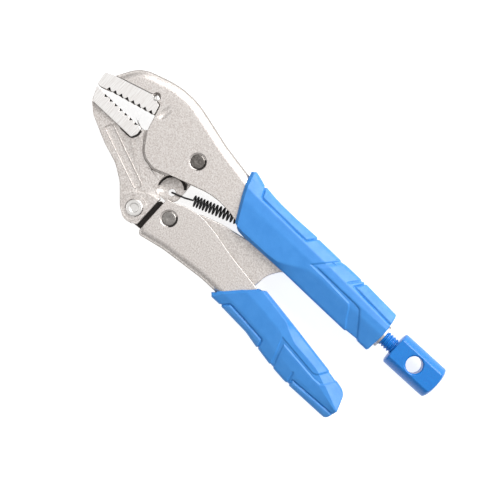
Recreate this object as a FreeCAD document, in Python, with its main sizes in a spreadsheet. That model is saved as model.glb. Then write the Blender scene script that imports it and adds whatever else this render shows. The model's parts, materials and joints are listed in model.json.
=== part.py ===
import FreeCAD, Part
import math
import os
import Sketcher

# Locking pliers, lying on their side.  Lengths are in millimetres.
#
# While the pieces are drawn, the origin is the jaw pivot on the mid-plane:
# +X runs along the adjusting screw to its knob, +Y to the back of the upper
# handle and +Z out of the side.  At the end every piece is moved by the same
# Placement, so that the finished part stands on Z = 0 at the centre of its box.

DIMS = {
    "channel_gap": 10.4,  # between the upper handle's cheeks
    "channel_sheet": 2.6,
    "channel_bend": 5.5,  # outside radius along the back
    "barrel_dia": 13.6,  # rolled end that carries the screw
    "barrel_start": 121.5,
    "barrel_end": 139.8,
    "thread_bore_dia": 9.12,
    "nose_width": 15.0,  # ground faces of both jaws
    "jaw_body": 12.0,  # moving jaw below its toothed bar
    "jaw_web": 10.0,  # moving jaw between the cheeks
    "tab_width": 3.2,  # spring tab under the jaw pivot
    "tab_hole_dia": 4.0,
    "ear_width": 13.4,
    "ear_slot": 5.4,
    "ear_radius": 7.7,
    "panel_depth": 0.5,
    "tooth_depth": 1.5,
    "tooth_skew": -6.0,  # the grooves lean this much across the jaw
    "upper_pitch": 3.7,
    "lower_pitch": 3.7,
    "upper_tooth_angle": 13.3,
    "lower_tooth_angle": -1.0,
    "lever_pivot_x": -8.9,
    "lever_pivot_y": -42.0,
    "link_pivot_x": 9.2,
    "link_pivot_y": -33.6,
    "lever_gap": 9.6,  # between the lever's cheeks
    "lever_sheet": 2.4,
    "lever_tongue": 5.0,  # the two cheeks pressed together at the front
    "lever_bend": 4.4,
    "link_width": 9.0,
    "link_eye_radius": 5.2,
    "rivet_dia": 8.0,
    "rivet_bore_dia": 8.1,
    "rivet_ring_dia": 9.5,  # countersink round a flush rivet
    "rivet_ring_depth": 0.5,
    "link_shank_dia": 6.0,
    "link_bore_dia": 6.1,
    "lever_head_dia": 9.3,
    "lever_head_height": 1.1,
    "lever_head_dish_dia": 5.3,
    "lever_head_dish_depth": 0.4,
    "screw_axis_y": -2.6,
    "thread_dia": 9.0,
    "screw_tip": 92.0,
    "spigot_dia": 7.4,
    "spigot_length": 5.0,
    "ring_groove_dia": 5.8,
    "ring_groove_start": 93.6,
    "ring_groove_width": 1.4,
    "ring_bore_dia": 5.9,
    "ring_dia": 9.8,
    "ring_thickness": 1.2,
    "knob_start": 148.1,
    "knob_end": 179.4,
    "knob_dia": 19.9,
    "knob_flats": 16.2,
    "knob_hole_x": 162.2,
    "knob_hole_dia": 9.6,
    "knob_hole_rim": 0.7,
    "knob_chamfer": 0.9,
    "spring_dia": 6.1,
    "spring_wire": 1.0,
    "spring_angle": 19.2,
    "spring_hook_x": 0.6,
    "spring_hook_y": -22.0,
    "spring_length": 58.0,  # hook to hook
    "spring_coil_start": 12.0,
    "spring_coil_length": 37.5,
    "anchor_thickness": 2.6,
    "upper_grip_width": 21.5,
    "lower_grip_width": 20.5,
    "lower_grip_angle": -7.4,
}

# Outlines are lists of corners (x, y) or (x, y, corner radius).

CHANNEL_BACK = [
    (-65.3, 4.7), (-57.8, 17.6, 38), (-29.1, 26.4, 52), (6.0, 16.9, 90), (40.0, 10.6, 60),
    (104.0, 9.0, 30), (121.5, 4.6, 12), (134.0, 3.6),
]  # fmt: skip
CHANNEL_EDGE = [
    (134.0, -9.0), (118.0, -9.6, 10), (60.0, -10.3, 40), (37.3, -10.1, 30), (32.6, -8.9, 20),
    (22.7, -8.0, 30), (14.7, -9.0, 30), (4.0, -12.4, 30), (-5.4, -15.4, 20), (-15.7, -19.1, 7),
    (-22.8, -17.5, 6), (-26.4, -14.4, 12), (-32.1, -5.9, 18), (-34.0, 2.0, 18), (-36.0, 9.1, 1.6),
    (-43.0, 10.9, 2),
]  # fmt: skip
WELD_HOLE = (-40.5, 11.1)
WELD_HOLE_RADIUS = 2.3
ANCHOR = [(53.2, 8.6), (57.8, 8.6), (57.8, -5.4, 1.5), (53.2, -5.4, 1.5)]

FIXED_NOSE = [
    (-70.5, 2.2, 1.2), (-69.2, -5.6, 0.6), (-67.0, -5.3, 0.8), (-63.0, -3.8), (-36.8, 2.4, 0.8),
    (-34.9, 3.2, 0.6), (-36.3, 8.5), (-43.0, 10.5), (-65.0, 4.4),
]  # fmt: skip
FIXED_TONGUE_EDGE = [(6.0, 12.4), (-18.0, 12.4), (-31.0, 4.6, 2), (-36.8, 2.6), (-60.0, -1.0)]
FIXED_TONGUE_END = [(-13.0, 30.0), (10.0, 30.0), (10.0, 0.0), (-24.0, 0.0), (-17.0, 12.4, 3)]
UPPER_TEETH_START = (-64.9, -4.25)
UPPER_TEETH = 8
LOWER_TEETH_START = (-64.9, -6.55)
LOWER_TEETH = 7
TOOTH_NOTCH = [(0.6, 0.0), (3.0, 0.0), (1.6, 1.0)]  # y is in depths

JAW_ROW = [(-69.0, -6.1, 0.8), (-62.1, -6.6), (-39.5, -7.0), (-36.6, -6.9, 0.5), (-34.8, -7.9, 0.5)]
JAW_BELLY = [
    (-1.7, -47.7, 1), (-8.7, -51.1, 7), (-15.6, -46.5, 6), (-24.5, -36.8, 14), (-33.1, -30.9, 20),
    (-44.5, -26.9, 20), (-59.5, -19.6, 10), (-65.4, -14.4, 2.5),
]  # fmt: skip
JAW_WEB_EDGE = [
    (-23.5, 1.5, 8), (-9.0, 9.4, 6), (8.5, 9.2, 8), (9.3, -4.0, 7), (5.6, -12.9, 3), (-0.6, -13.2, 5),
    (-7.4, -15.6, 5), (-8.6, -22.0, 7), (-6.6, -26.6, 3), (-1.7, -28.9, 0.8),
]  # fmt: skip
JAW_BODY_EDGE = [
    (-33.3, -6.9), (-27.1, -15.2, 10), (-23.2, -18.3, 6), (-15.6, -20.0, 7), (-8.2, -17.4, 1),
    (-8.6, -22.0, 7), (-6.6, -26.6, 3), (-1.7, -28.9, 0.8),
]  # fmt: skip
JAW_TAB = [(5.6, -12.6), (5.9, -17.0, 4), (5.9, -24.0, 4), (2.0, -27.8, 4), (-9.5, -27.8), (-9.5, -12.6)]
JAW_EAR = [
    (-1.7, -29.4, 0.8), (-1.7, -47.7, 1), (-8.7, -51.1, 7), (-15.6, -46.5, 6), (-17.6, -42.0, 6),
    (-15.2, -36.0, 6), (-8.0, -31.0, 5),
]  # fmt: skip
EAR_SLOT = [
    (5.0, -27.2), (-7.0, -30.6, 3), (-17.4, -37.0, 7), (-17.4, -47.0, 7), (-13.0, -56.0), (5.0, -56.0),
]  # fmt: skip
JAW_PANEL = [(-50.6, -20.1, 0.8), (-48.4, -16.1, 0.8), (-18.6, -28.3, 1.8), (-20.6, -32.0, 1.8)]
JAW_BAR = [
    (-69.0, -6.1, 0.8), (-62.1, -6.6), (-39.5, -7.0), (-36.6, -6.9, 0.5), (-34.8, -7.9, 0.5),
    (-34.4, -11.2, 1), (-35.9, -14.7, 1), (-64.9, -14.3, 1.2),
]  # fmt: skip

LEVER_TOP = [
    (1.3, -26.5, 0.8), (5.3, -25.4, 3), (11.8, -22.7, 12), (19.4, -21.1, 14), (24.0, -20.9, 14),
    (34.2, -22.5, 20), (48.1, -25.9, 30), (68.7, -29.2, 20), (95.0, -33.4, 40), (128.0, -39.4, 20),
    (137.5, -42.6),
]  # fmt: skip
LEVER_SPINE = [
    (137.5, -52.6), (120.0, -52.2, 30), (90.0, -49.3, 60), (56.4, -46.2, 60), (44.0, -46.0, 60),
    (18.0, -48.3, 40), (2.8, -51.3, 3), (1.3, -49.4),
]  # fmt: skip
LEVER_TONGUE = [
    (3.2, -29.3), (-0.6, -29.3, 1), (-2.2, -32.4, 3), (-15.9, -38.0, 6.4), (-15.9, -44.4, 6.4),
    (-9.0, -49.0, 6), (3.2, -48.4),
]  # fmt: skip
LEVER_FRONT_WALL = 3.7

LINK_BODY = [
    (5.2, -32.0, 4), (21.1, -20.0, 10), (33.1, -16.3, 30), (48.4, -13.4, 40), (66.0, -8.6, 40),
    (80.0, -3.4, 20), (84.5, 0.6, 5), (90.2, 0.6, 4.5), (90.2, -7.2, 4.5), (84.0, -8.8, 8),
    (74.1, -13.9, 9), (69.7, -21.0, 14), (68.7, -29.8, 1.5), (60.0, -32.4, 10), (40.0, -38.4, 20),
    (9.0, -38.8, 4),
]  # fmt: skip
UPPER_GRIP = [
    (25.6, 17.9, 0.8), (26.0, 13.3, 8), (29.8, 4.7, 20), (37.2, -9.6, 6), (39.6, -13.1, 3),
    (48.4, -13.9, 8), (72.0, -13.4, 20), (121.2, -14.3, 2), (129.1, -13.9, 2), (137.9, -14.2, 1.8),
    (138.8, -6.9, 20), (138.0, 5.2, 20), (137.2, 11.0, 1.6), (109.4, 12.6, 20), (76.6, 13.2, 20),
    (48.0, 13.2, 20), (37.5, 14.9, 8),
]  # fmt: skip
UPPER_GRIP_SECTION = [
    (18.6, 5.6), (13.0, 7.6), (5.0, 10.75), (-3.6, 10.75), (-14.6, 8.6),
]  # (height, half width)
GRIP_SLOT_END = 100.0
LOWER_GRIP = [
    (53.2, -49.6, 1), (53.2, -48.0, 1), (59.6, -41.0, 20), (70.4, -29.8, 10), (73.6, -26.6, 2.5),
    (94.8, -30.0, 40), (128.4, -35.7, 20), (142.6, -38.6, 8), (146.9, -41.6, 5), (148.1, -48.0, 10),
    (147.2, -57.2, 1.8), (117.0, -57.2, 20), (94.0, -54.0, 20), (81.9, -51.2, 20), (62.2, -49.8, 20),
]  # fmt: skip
LOWER_GRIP_PIVOT = (100.0, -43.0)
LOWER_GRIP_SECTION = [(18.0, 6.4), (9.0, 8.2), (3.6, 10.25), (-5.0, 10.25), (-12.6, 7.9)]
LOWER_SLOT_START = 58.0
LOWER_SLOT_END = 84.0

doc = FreeCAD.newDocument("locking_pliers")
dims = doc.addObject("Spreadsheet::Sheet", "dims")
for row, (alias, value) in enumerate(DIMS.items(), start=1):
    dims.set(f"A{row}", alias)
    dims.set(f"B{row}", str(value))
    dims.setAlias(f"B{row}", alias)
doc.recompute()


def dim(alias):
    """One driving dimension, read back from the sheet."""
    return float(getattr(dims, alias))


def xy(corner):
    return FreeCAD.Vector(corner[0], corner[1], 0)


def rounded(corners):
    """Lines and tangent arcs round a closed outline of corners."""
    count = len(corners)
    cuts = []
    for i, corner in enumerate(corners):
        here = xy(corner)
        before = xy(corners[i - 1]) - here
        after = xy(corners[(i + 1) % count]) - here
        radius = corner[2] if len(corner) > 2 else 0
        half = before.getAngle(after) / 2
        reach = min(radius / math.tan(half), 0.49 * before.Length, 0.49 * after.Length)
        if radius == 0 or reach < 0.02 or abs(half - math.pi / 2) < 0.004:
            cuts.append((here, None, here))
            continue
        radius = reach * math.tan(half)
        start = here + before.normalize() * reach
        end = here + after.normalize() * reach
        inward = (before + after).normalize()
        middle = here + inward * (radius / math.sin(half) - radius)
        cuts.append((start, middle, end))
    edges = []
    for i, (start, middle, end) in enumerate(cuts):
        if middle is not None:
            edges.append(Part.Arc(start, middle, end))
        following = cuts[(i + 1) % count][0]
        if (following - end).Length > 1e-4:
            edges.append(Part.LineSegment(end, following))
    return edges


def inset(line, distance):
    """An open line of corners moved sideways, to the right of its direction."""
    moved = []
    for i, corner in enumerate(line):
        here = xy(corner)
        before = (here - xy(line[i - 1])).normalize() if i else None
        after = (xy(line[i + 1]) - here).normalize() if i + 1 < len(line) else before
        before = before or after
        lean = (before + after).normalize()
        reach = distance / (lean * before)
        turns_right = before.cross(after).z < 0
        radius = corner[2] + (-distance if turns_right else distance) if len(corner) > 2 else 0
        moved.append((corner[0] + lean.y * reach, corner[1] - lean.x * reach, radius))
    return moved


def new_body(label):
    body = doc.addObject("PartDesign::Body", label)
    body.Label = label
    return body


def new_sketch(body, name, role="XY_Plane"):
    sketch = body.newObject("Sketcher::SketchObject", name)
    plane = next(f for f in body.Origin.OriginFeatures if f.Role == role)
    sketch.AttachmentSupport = [(plane, "")]
    sketch.MapMode = "FlatFace"
    return sketch


def draw(body, name, corners, role="XY_Plane"):
    """A sketch of one rounded outline."""
    sketch = new_sketch(body, name, role)
    sketch.addGeometry(rounded(corners), False)
    return sketch


def circle(sketch, x_expression, y_expression, radius_expression):
    """A circle whose centre and radius follow the sheet."""
    index = sketch.addGeometry(Part.Circle(FreeCAD.Vector(0, 0, 0), FreeCAD.Vector(0, 0, 1), 1), False)
    places = [("DistanceX", x_expression), ("DistanceY", y_expression)]
    for kind, expression in places:
        number = sketch.addConstraint(Sketcher.Constraint(kind, -1, 1, index, 3, 1.0))
        sketch.setExpression(f"Constraints[{number}]", expression)
    number = sketch.addConstraint(Sketcher.Constraint("Radius", index, 1.0))
    sketch.setExpression(f"Constraints[{number}]", radius_expression)


def pad(body, sketch, length_expression, midplane=True):
    feature = body.newObject("PartDesign::Pad", sketch.Name + "_pad")
    feature.Profile = sketch
    feature.Midplane = midplane
    feature.setExpression("Length", length_expression)
    sketch.Visibility = False
    return feature


def pocket(body, sketch, length_expression, midplane=True, reverse=False):
    feature = body.newObject("PartDesign::Pocket", sketch.Name + "_pocket")
    feature.Profile = sketch
    feature.Midplane = midplane
    feature.Reversed = reverse
    feature.setExpression("Length", length_expression)
    sketch.Visibility = False
    return feature


def holes(body, name, places, length_expression="60"):
    """Round holes right through: (x, y, radius) as expressions."""
    sketch = new_sketch(body, name)
    for place in places:
        circle(sketch, *place)
    return pocket(body, sketch, length_expression)


def recess(body, name, corners, width_expression, depth_expression):
    """The same shallow pocket in both side faces."""
    for side, sign in (("front", "1"), ("rear", "-1")):
        sketch = draw(body, f"{name}_{side}", corners)
        sketch.setExpression("AttachmentOffset.Base.z", f"{sign} * ({width_expression}) / 2")
        pocket(body, sketch, depth_expression, midplane=False, reverse=side == "rear")


def countersinks(body, name, x_expression, y_expression, width_expression):
    """The shallow ring round a flush rivet, in both side faces."""
    for side, sign in (("front", "1"), ("rear", "-1")):
        sketch = new_sketch(body, f"{name}_{side}")
        sketch.setExpression("AttachmentOffset.Base.z", f"{sign} * ({width_expression}) / 2")
        circle(sketch, x_expression, y_expression, "dims.rivet_ring_dia / 2")
        pocket(body, sketch, "dims.rivet_ring_depth", midplane=False, reverse=side == "rear")


def fillet_edges(body, name, choose, radius_expression):
    """Rounds the edges of the body's last feature that choose() picks."""
    doc.recompute()
    last = body.Tip
    names = [f"Edge{i}" for i, edge in enumerate(last.Shape.Edges, start=1) if choose(edge)]
    feature = body.newObject("PartDesign::Fillet", name)
    feature.Base = (last, names)
    feature.setExpression("Radius", radius_expression)
    return feature


def teeth(body, name, start, angle_expression, pitch, count, upward):
    """A row of notches across a jaw."""
    up = 1 if upward else -1
    depth = dim("tooth_depth")
    sketch = draw(body, name, [(c[0], up * c[1] * depth, *c[2:]) for c in TOOTH_NOTCH])
    sketch.AttachmentOffset = FreeCAD.Placement(
        FreeCAD.Vector(start[0], start[1], 0),
        FreeCAD.Rotation(FreeCAD.Vector(0, 0, 1), dim(angle_expression)),
    )
    notch = pocket(body, sketch, "60")
    lean = math.tan(math.radians(dim("tooth_skew")))
    along = math.radians(dim(angle_expression))
    notch.UseCustomVector = True
    notch.Direction = FreeCAD.Vector(lean * math.cos(along), lean * math.sin(along), 1)
    doc.recompute()
    row = body.newObject("PartDesign::LinearPattern", name + "_row")
    row.Originals = [notch]
    row.Direction = (sketch, ["H_Axis"])
    row.setExpression("Length", f"dims.{pitch} * {count - 1}")
    row.Occurrences = count
    body.Tip = row


def across_x(body, name, start_expression):
    """A sketch across the screw axis; its x is +Y and its y is +Z."""
    sketch = new_sketch(body, name, "YZ_Plane")
    sketch.setExpression("AttachmentOffset.Base.z", start_expression)
    return sketch


SHELL = "(dims.channel_gap + 2 * dims.channel_sheet)"
LEVER = "(dims.lever_gap + 2 * dims.lever_sheet)"


def half_width_at(edge, half):
    """True for an edge that lies in one of the two side faces."""
    heights = [v.Z for v in edge.Vertexes]
    return abs(abs(heights[0]) - half) < 0.01 and max(heights) - min(heights) < 0.01


# ---- upper handle -------------------------------------------------------


def handle_channel():
    """Stamped channel, open below, with a rolled barrel at its end."""
    body = new_body("handle_channel")
    pad(body, draw(body, "cheeks", CHANNEL_BACK + CHANNEL_EDGE), SHELL)
    half = dim("channel_gap") / 2 + dim("channel_sheet")
    back = Part.Wire([Part.makeLine(xy(a), xy(b)) for a, b in zip(CHANNEL_BACK, CHANNEL_BACK[1:])])

    def on_back(edge):
        middle = edge.valueAt((edge.FirstParameter + edge.LastParameter) / 2)
        flat = Part.Vertex(FreeCAD.Vector(middle.x, middle.y, 0))
        return half_width_at(edge, half) and back.distToShape(flat)[0] < 0.8

    fillet_edges(body, "back_bend", on_back, "dims.channel_bend")
    inside = inset(CHANNEL_BACK, dim("channel_sheet"))
    inside = [(inside[0][0] - 4.0, inside[0][1] - 8.0)] + inside[:-2]
    inside += [(dim("barrel_start"), 2.0), (dim("barrel_start"), -30.0), (-80.0, -30.0)]
    pocket(body, draw(body, "inside", inside), "dims.channel_gap")
    barrel = across_x(body, "barrel", "dims.barrel_start")
    circle(barrel, "dims.screw_axis_y", "0", "dims.barrel_dia / 2")
    pad(body, barrel, "dims.barrel_end - dims.barrel_start", midplane=False)
    bore = across_x(body, "thread_bore", "dims.barrel_start - 3")
    circle(bore, "dims.screw_axis_y", "0", "dims.thread_bore_dia / 2")
    pocket(body, bore, "dims.barrel_end - dims.barrel_start + 6", midplane=False, reverse=True)
    pad(body, draw(body, "anchor", ANCHOR), "dims.anchor_thickness")
    hook = "dims.spring_length * {}(dims.spring_angle * 1 deg)"
    holes(body, "anchor_hole", [
        ("dims.spring_hook_x + " + hook.format("cos"), "dims.spring_hook_y + " + hook.format("sin"), "1.6"),
    ])  # fmt: skip
    holes(body, "rivet_hole", [("0", "0", "dims.rivet_dia / 2")])
    countersinks(body, "rivet_ring", "0", "0", SHELL)
    holes(body, "weld_hole", [(str(WELD_HOLE[0]), str(WELD_HOLE[1]), str(WELD_HOLE_RADIUS))])
    return body


def fixed_jaw():
    """Forged jaw, welded between the cheeks at the nose."""
    body = new_body("fixed_jaw")
    pad(body, draw(body, "nose", FIXED_NOSE), "dims.nose_width")
    behind = inset(CHANNEL_BACK, dim("channel_sheet"))
    pad(body, draw(body, "tongue", behind[:4] + FIXED_TONGUE_EDGE), "dims.channel_gap")
    pocket(body, draw(body, "tongue_end", FIXED_TONGUE_END), "60")
    teeth(body, "teeth", UPPER_TEETH_START, "upper_tooth_angle", "upper_pitch", UPPER_TEETH, True)
    return body


def upper_grip():
    """Moulded sleeve round the upper handle, open below for the link."""
    body = new_body("upper_grip")
    pad(body, draw(body, "side", UPPER_GRIP), "dims.upper_grip_width + 1")
    section = across_x(body, "section", "-20")
    heights = [(h, w) for h, w in UPPER_GRIP_SECTION]
    ring = [(h, w) for h, w in heights] + [(h, -w) for h, w in reversed(heights)]
    section.addGeometry(rounded([(h, w, 1.5) for h, w in ring]), False)
    section.addGeometry(rounded([(-40, -30), (40, -30), (40, 30), (-40, 30)]), False)
    pocket(body, section, "220", midplane=False, reverse=True)
    pocket(body, draw(body, "seat", CHANNEL_BACK + CHANNEL_EDGE), SHELL)
    slot = [(20.0, 4.0), (GRIP_SLOT_END, 4.0), (GRIP_SLOT_END, -20.0), (20.0, -20.0)]
    pocket(body, draw(body, "slot", slot), "dims.channel_gap")
    end = across_x(body, "end_hole", "dims.barrel_start")
    circle(end, "dims.screw_axis_y", "0", "dims.barrel_dia / 2")
    pocket(body, end, "40", midplane=False, reverse=True)
    return body


# ---- moving jaw ---------------------------------------------------------


def moving_jaw():
    """Forged jaw: toothed bar, web to the pivot, spring tab and two ears."""
    body = new_body("moving_jaw")
    pad(body, draw(body, "web", JAW_ROW + JAW_WEB_EDGE + JAW_BELLY), "dims.jaw_web")
    pad(body, draw(body, "body", JAW_ROW + JAW_BODY_EDGE + JAW_BELLY), "dims.jaw_body")
    pad(body, draw(body, "tab", JAW_TAB), "dims.tab_width")
    recess(body, "panel", JAW_PANEL, "dims.jaw_body", "dims.panel_depth")
    pad(body, draw(body, "bar", JAW_BAR), "dims.nose_width")
    pad(body, draw(body, "ears", JAW_EAR), "dims.ear_width")
    pocket(body, draw(body, "ear_slot_cut", EAR_SLOT), "dims.ear_slot")
    holes(body, "bores", [
        ("0", "0", "dims.rivet_bore_dia / 2"),
        ("dims.lever_pivot_x", "dims.lever_pivot_y", "dims.rivet_dia / 2"),
        ("dims.spring_hook_x", "dims.spring_hook_y", "dims.tab_hole_dia / 2"),
    ])  # fmt: skip
    teeth(body, "teeth", LOWER_TEETH_START, "lower_tooth_angle", "lower_pitch", LOWER_TEETH, False)
    return body


# ---- lever --------------------------------------------------------------


def lever_channel():
    """Stamped lever, open above, its cheeks joggled together at the front."""
    body = new_body("lever_channel")
    pad(body, draw(body, "cheeks", LEVER_TOP + LEVER_SPINE), LEVER)
    half = dim("lever_gap") / 2 + dim("lever_sheet")
    spine = Part.Wire([Part.makeLine(xy(a), xy(b)) for a, b in zip(LEVER_SPINE, LEVER_SPINE[1:-1])])

    def on_spine(edge):
        middle = edge.valueAt((edge.FirstParameter + edge.LastParameter) / 2)
        flat = Part.Vertex(FreeCAD.Vector(middle.x, middle.y, 0))
        return half_width_at(edge, half) and spine.distToShape(flat)[0] < 0.8

    fillet_edges(body, "spine_bend", on_spine, "dims.lever_bend")
    floor = inset(LEVER_SPINE[:-2], dim("lever_sheet"))
    inside = floor[1:] + [(LEVER_FRONT_WALL, -48.4, 1), (LEVER_FRONT_WALL, -29.6), (-4.0, -29.6)]
    inside = [(150.0, floor[0][1])] + inside + [(-4.0, -10.0), (150.0, -10.0)]
    pocket(body, draw(body, "inside", inside), "dims.lever_gap")
    pad(body, draw(body, "tongue", LEVER_TONGUE), "dims.lever_tongue")
    holes(body, "bores", [
        ("dims.lever_pivot_x", "dims.lever_pivot_y", "dims.rivet_bore_dia / 2"),
        ("dims.link_pivot_x", "dims.link_pivot_y", "dims.rivet_dia / 2"),
    ])  # fmt: skip
    countersinks(body, "rivet_ring", "dims.link_pivot_x", "dims.link_pivot_y", LEVER)
    return body


def lower_grip():
    """Moulded sleeve round the lever, open above where the link goes in."""
    body = new_body("lower_grip")
    pad(body, draw(body, "side", LOWER_GRIP), "dims.lower_grip_width + 1")
    section = new_sketch(body, "section", "YZ_Plane")
    ring = LOWER_GRIP_SECTION + [(h, -w) for h, w in reversed(LOWER_GRIP_SECTION)]
    section.addGeometry(rounded([(h, w, 1.5) for h, w in ring]), False)
    section.addGeometry(rounded([(-40, -30), (40, -30), (40, 30), (-40, 30)]), False)
    # the sketch's own x leans by the grip's angle, about a point on its axis
    lean = FreeCAD.Rotation(FreeCAD.Vector(0, 1, 0), dim("lower_grip_angle"))
    section.AttachmentOffset = FreeCAD.Placement(
        FreeCAD.Vector(LOWER_GRIP_PIVOT[1], 0, LOWER_GRIP_PIVOT[0]), lean
    )
    pocket(body, section, "300", midplane=True)
    pocket(body, draw(body, "seat", LEVER_TOP + LEVER_SPINE), LEVER)
    start, end = LOWER_SLOT_START, LOWER_SLOT_END
    slot = [(start, -20.0), (end, -20.0), (end, -40.0), (start, -40.0)]
    pocket(body, draw(body, "slot", slot), "dims.lever_gap")
    return body


def toggle_link():
    """Link from the lever to the screw's tip, with a wide heel below."""
    body = new_body("toggle_link")
    eye = new_sketch(body, "eye")
    circle(eye, "dims.link_pivot_x", "dims.link_pivot_y", "dims.link_eye_radius")
    pad(body, eye, "dims.link_width")
    pad(body, draw(body, "plate", LINK_BODY), "dims.link_width")
    holes(body, "bore", [("dims.link_pivot_x", "dims.link_pivot_y", "dims.link_bore_dia / 2")])
    return body


# ---- rivets -------------------------------------------------------------


def turned(label, x, y, steps):
    """A turned pin along Z: steps are (height, radius) from its middle up, mirrored below."""
    body = new_body(label)
    sketch = new_sketch(body, label + "_half", "XZ_Plane")
    up = [(radius, height) for height, radius in steps]
    ring = [(0.0, steps[-1][0])] + list(reversed(up)) + [(radius, -height) for radius, height in up]
    ring += [(0.0, -steps[-1][0])]
    sketch.addGeometry(rounded(ring), False)
    spin = body.newObject("PartDesign::Revolution", label + "_turning")
    spin.Profile = sketch
    spin.ReferenceAxis = (sketch, ["V_Axis"])
    spin.Angle = 360
    body.Placement = FreeCAD.Placement(FreeCAD.Vector(x, y, 0), FreeCAD.Rotation())
    return body


def rivets():
    shell = dim("channel_gap") / 2 + dim("channel_sheet")
    lever = dim("lever_gap") / 2 + dim("lever_sheet")
    ear = dim("ear_width") / 2
    radius = dim("rivet_dia") / 2
    shank = dim("link_shank_dia") / 2
    head = dim("lever_head_dia") / 2
    dish = dim("lever_head_dish_dia") / 2
    top = ear + dim("lever_head_height")
    sink = top - dim("lever_head_dish_depth")
    jaw = turned("jaw_pivot_rivet", 0, 0, [(0, radius), (shell - 0.1, radius)])
    link = turned(
        "link_rivet", dim("link_pivot_x"), dim("link_pivot_y"),
        [(0, shank), (dim("lever_gap") / 2, shank), (dim("lever_gap") / 2, radius), (lever - 0.1, radius)],
    )  # fmt: skip
    lever_pin = turned(
        "lever_rivet", dim("lever_pivot_x"), dim("lever_pivot_y"),
        [(0, radius), (ear, radius), (ear, head), (top - 0.35, head), (top, head - 0.35), (top, dish),
         (sink, dish - 0.4), (sink, 0.01)],
    )  # fmt: skip
    return [jaw, lever_pin, link]


# ---- adjusting screw ----------------------------------------------------


def adjusting_screw():
    """Screw and knob in one piece, with a groove at the tip for its ring."""
    body = new_body("adjusting_screw")
    tip = dim("screw_tip")
    spigot = dim("spigot_dia") / 2
    groove = dim("ring_groove_dia") / 2
    start = dim("ring_groove_start")
    thread = dim("thread_dia") / 2
    neck = dim("knob_start")
    knob = dim("knob_dia") / 2
    end = dim("knob_end")
    edge = dim("knob_chamfer")
    profile = [
        (tip, 0.0), (tip, spigot - 0.6), (tip + 0.6, spigot), (start, spigot), (start, groove),
        (start + dim("ring_groove_width"), groove), (start + dim("ring_groove_width"), spigot),
        (tip + dim("spigot_length"), spigot), (tip + dim("spigot_length") + 0.8, thread), (neck, thread),
        (neck, knob - edge), (neck + edge, knob), (end - 1.9, knob, 1.5), (end - 0.5, knob - 3.0, 12),
        (end, 0.0),
    ]  # fmt: skip
    sketch = draw(body, "profile", profile)
    spin = body.newObject("PartDesign::Revolution", "turning")
    spin.Profile = sketch
    spin.ReferenceAxis = (sketch, ["H_Axis"])
    spin.Angle = 360
    flats = new_sketch(body, "flats", "XZ_Plane")
    high = knob + 2
    for side in (1, -1):
        inner = side * dim("knob_flats") / 2
        flats.addGeometry(rounded([
            (neck - 1, inner), (end + 1, inner), (end + 1, side * high), (neck - 1, side * high),
        ]), False)  # fmt: skip
    pocket(body, flats, "60")
    hole = new_sketch(body, "cross_hole", "XZ_Plane")
    centre = dim("knob_hole_x")
    radius = dim("knob_hole_dia") / 2
    rim = dim("knob_flats") / 2 - dim("knob_hole_rim")
    mouth = radius + high - rim
    hole.addGeometry(rounded([
        (centre, high), (centre + mouth, high), (centre + radius, rim), (centre + radius, -rim),
        (centre + mouth, -high), (centre, -high),
    ]), False)  # fmt: skip
    drill = body.newObject("PartDesign::Groove", "cross_hole_cut")
    drill.Profile = hole
    axis = Part.LineSegment(FreeCAD.Vector(centre, -high, 0), FreeCAD.Vector(centre, high, 0))
    hole.addGeometry(axis, True)
    drill.ReferenceAxis = (hole, ["Axis0"])
    drill.Angle = 360
    body.Placement = FreeCAD.Placement(FreeCAD.Vector(0, dim("screw_axis_y"), 0), FreeCAD.Rotation())
    return body


def screw_stop_ring():
    """Snap ring in the screw's groove, which stops it leaving the barrel."""
    body = new_body("screw_stop_ring")
    clear = (dim("ring_groove_width") - dim("ring_thickness")) / 2
    ring = across_x(body, "ring", f"dims.ring_groove_start + {clear}")
    circle(ring, "dims.screw_axis_y", "0", "dims.ring_dia / 2")
    circle(ring, "dims.screw_axis_y", "0", "dims.ring_bore_dia / 2")
    pad(body, ring, "dims.ring_thickness", midplane=False)
    return body


# ---- spring -------------------------------------------------------------


def jaw_spring():
    """Tension spring: its coil's outer shape and the two hooked wire ends."""
    radius = dim("spring_dia") / 2
    wire = dim("spring_wire") / 2
    side = radius - wire - 0.2
    length = dim("spring_length")
    pieces = []

    def rod(name, size, reach, x, z, pitch):
        cylinder = doc.addObject("Part::Cylinder", name)
        cylinder.Radius = size
        cylinder.Height = reach
        turn = FreeCAD.Rotation(FreeCAD.Vector(0, 1, 0), pitch)
        cylinder.Placement = FreeCAD.Placement(FreeCAD.Vector(x, 0, z), turn)
        pieces.append(cylinder)

    coil = dim("spring_coil_start")
    rod("coil", radius, dim("spring_coil_length"), coil, 0, 90)
    doc.getObject("coil").setExpression("Radius", "dims.spring_dia / 2")
    doc.getObject("coil").setExpression("Height", "dims.spring_coil_length")
    rod("front_wire", wire, coil + 1.5, -wire, side, 90)
    rear = coil + dim("spring_coil_length") - 1.0
    rod("rear_wire", wire, length + wire - rear, rear, side, 90)
    rod("front_hook", 0.85 * wire, side + 2.1, 0, -2.1, 0)
    rod("rear_hook", 0.85 * wire, side + 2.1, length, -2.1, 0)
    joined = doc.addObject("Part::MultiFuse", "jaw_spring")
    joined.Shapes = pieces
    joined.Label = "jaw_spring"
    joined.Placement = FreeCAD.Placement(
        FreeCAD.Vector(dim("spring_hook_x"), dim("spring_hook_y"), 0),
        FreeCAD.Rotation(FreeCAD.Vector(0, 0, 1), dim("spring_angle")),
    )
    return joined


# ---- assembly -----------------------------------------------------------

pieces = [handle_channel(), fixed_jaw(), upper_grip(), moving_jaw(), lever_channel(), lower_grip()]
pieces += [toggle_link(), adjusting_screw(), screw_stop_ring(), jaw_spring()] + rivets()
doc.recompute()

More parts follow.
